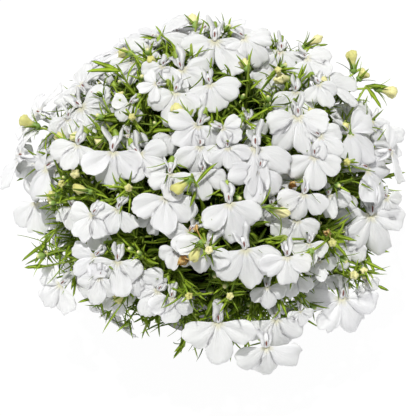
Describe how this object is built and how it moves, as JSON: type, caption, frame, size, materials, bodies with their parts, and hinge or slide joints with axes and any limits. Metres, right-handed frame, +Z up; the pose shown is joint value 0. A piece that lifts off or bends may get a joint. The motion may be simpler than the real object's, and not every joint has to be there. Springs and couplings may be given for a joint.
{
  "type": "potted edging lobelia",
  "caption": "Round mound of white, large-lipped bedding flowers on thin leafy stems, trailing over the rim of a plain round plastic pot.",
  "frame": {"origin": "middle of the pot's flat foot, on the surface that it stands on", "axes": "+Z up through the middle of the pot, -Y towards the front of the mound, which the picture shows"},
  "size_m": [0.1566, 0.151, 0.125],
  "materials": {
    "petals": "soft, thin, slightly translucent white petals, a cream throat",
    "foliage": "matte green stems, calyces, narrow leaves and cream buds",
    "pot": "plain dark grey moulded plastic, satin",
    "compost": "dark crumbly potting compost"
  },
  "bodies": {
    "root": {"blooms_back_01": "petals", "blooms_back_02": "petals", "blooms_back_03": "petals", "blooms_back_04": "petals", "blooms_back_05": "petals", "blooms_back_06": "petals", "blooms_back_07": "petals", "blooms_back_08": "petals", "blooms_back_09": "petals", "blooms_back_10": "petals", "blooms_back_11": "petals", "blooms_back_12": "petals", "blooms_back_13": "petals", "blooms_front_01": "petals", "blooms_front_02": "petals", "blooms_front_03": "petals", "blooms_front_04": "petals", "blooms_front_05": "petals", "blooms_front_06": "petals", "blooms_front_07": "petals", "blooms_front_08": "petals", "blooms_front_09": "petals", "blooms_front_10": "petals", "blooms_front_11": "petals", "blooms_front_12": "petals", "blooms_front_13": "petals", "blooms_front_14": "petals", "blooms_front_15": "petals", "blooms_front_16": "petals", "blooms_front_17": "petals", "blooms_front_18": "petals", "blooms_front_19": "petals", "blooms_front_20": "petals", "blooms_front_21": "petals", "blooms_front_22": "petals", "blooms_front_23": "petals", "blooms_front_24": "petals", "blooms_front_25": "petals", "blooms_front_26": "petals", "blooms_front_27": "petals", "blooms_front_28": "petals", "blooms_front_29": "petals", "blooms_front_30": "petals", "compost": "compost", "pot": "pot", "stems_low_1": "foliage", "stems_low_2": "foliage", "stems_low_3": "foliage", "stems_low_4": "foliage", "stems_low_5": "foliage", "stems_low_6": "foliage", "stems_low_7": "foliage", "stems_low_8": "foliage", "stems_middle_1": "foliage", "stems_middle_2": "foliage", "stems_middle_3": "foliage", "stems_middle_4": "foliage", "stems_middle_5": "foliage", "stems_middle_6": "foliage", "stems_top_1": "foliage"}
  },
  "joints": []
}
